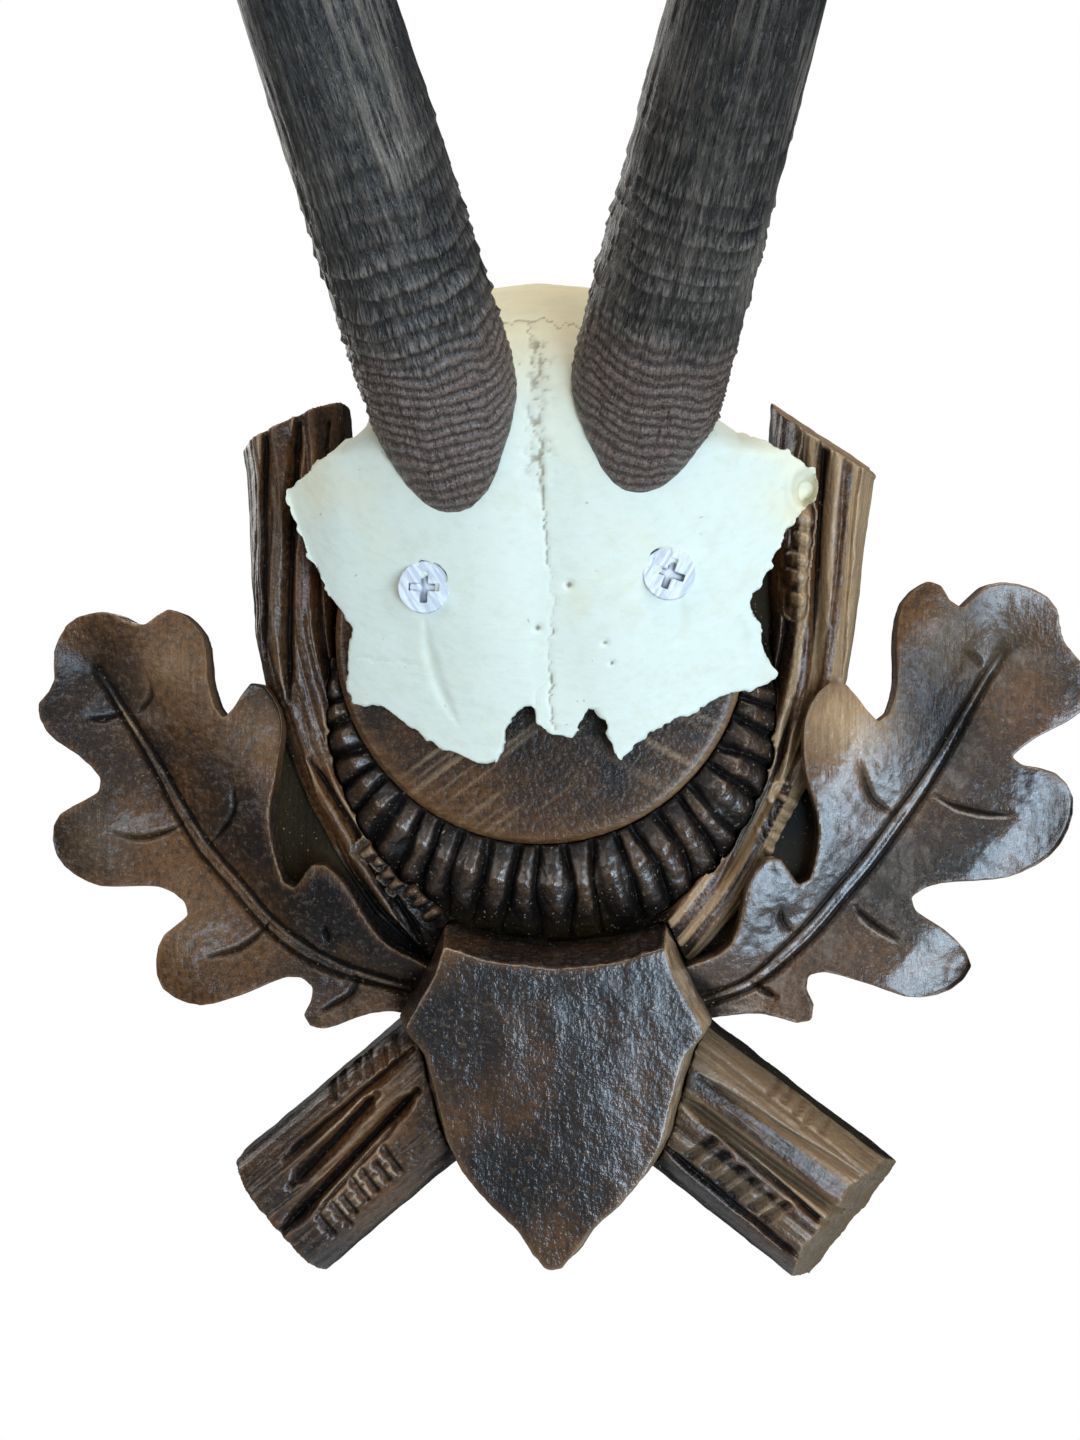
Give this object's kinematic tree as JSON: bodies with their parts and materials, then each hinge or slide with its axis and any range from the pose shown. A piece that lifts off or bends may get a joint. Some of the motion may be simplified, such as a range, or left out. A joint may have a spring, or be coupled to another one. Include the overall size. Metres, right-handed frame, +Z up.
{
  "type": "chamois skull cap and horns on a carved wall plaque",
  "caption": "Chamois skull cap with hooked horns, screwed to a carved dark wood wall plaque with a round medallion, gadrooned border, shield, oak leaves and fluted branches.",
  "frame": {"origin": "on the plaque's flat back, in the wall plane, behind the medallion on the plaque's middle line", "axes": "+Y into the wall, +Z up, +X to the viewer's right; the front faces -Y"},
  "size_m": [0.2242, 0.1393, 0.3182],
  "materials": {
    "wood": "dark stained and waxed carved hardwood, worn paler on the edges",
    "bone": "dry bleached bone, matt to satin",
    "horn": "dark ringed horn, dull with a slight sheen",
    "screw_paint": "steel brushed over with white paint"
  },
  "bodies": {
    "root": {"back_board": "wood", "medallion": "wood", "medallion_border": "wood", "shield": "wood", "branch_upper_left": "wood", "branch_upper_right": "wood", "branch_lower_left": "wood", "branch_lower_right": "wood", "oak_leaf_left": "wood", "oak_leaf_right": "wood", "skull_cap": "bone", "horn_left": "horn", "horn_right": "horn", "screw_left": "screw_paint", "screw_right": "screw_paint"}
  },
  "joints": []
}
